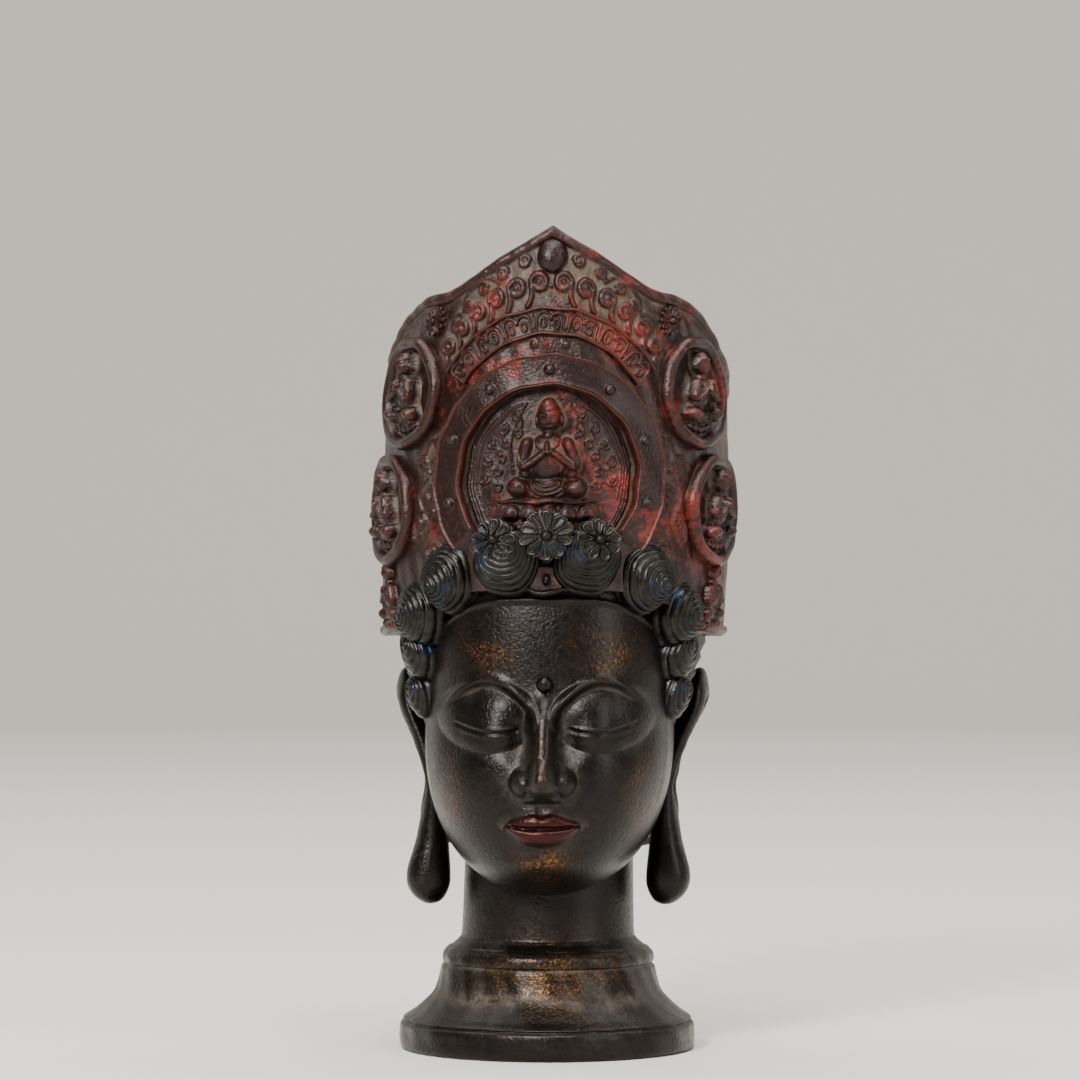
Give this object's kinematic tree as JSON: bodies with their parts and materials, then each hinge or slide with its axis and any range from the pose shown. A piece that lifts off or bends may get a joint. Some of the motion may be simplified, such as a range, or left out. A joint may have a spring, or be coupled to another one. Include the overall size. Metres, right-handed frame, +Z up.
{
  "type": "sculpture head",
  "caption": "Cast copper head of a crowned bodhisattva on a round flared socle, with a tall pointed crown in relief, curled hair and long ear lobes.",
  "frame": {"origin": "centre of the socle's flat underside", "axes": "+Z up, the face looks along -Y, +X to the viewer's right"},
  "size_m": [0.107, 0.1186, 0.24],
  "materials": {
    "patinated_copper": "near-black polished patina on copper, with red-brown lacquer on the crown and worn gilding"
  },
  "bodies": {
    "root": {"buddha_head": "patinated_copper"}
  },
  "joints": []
}
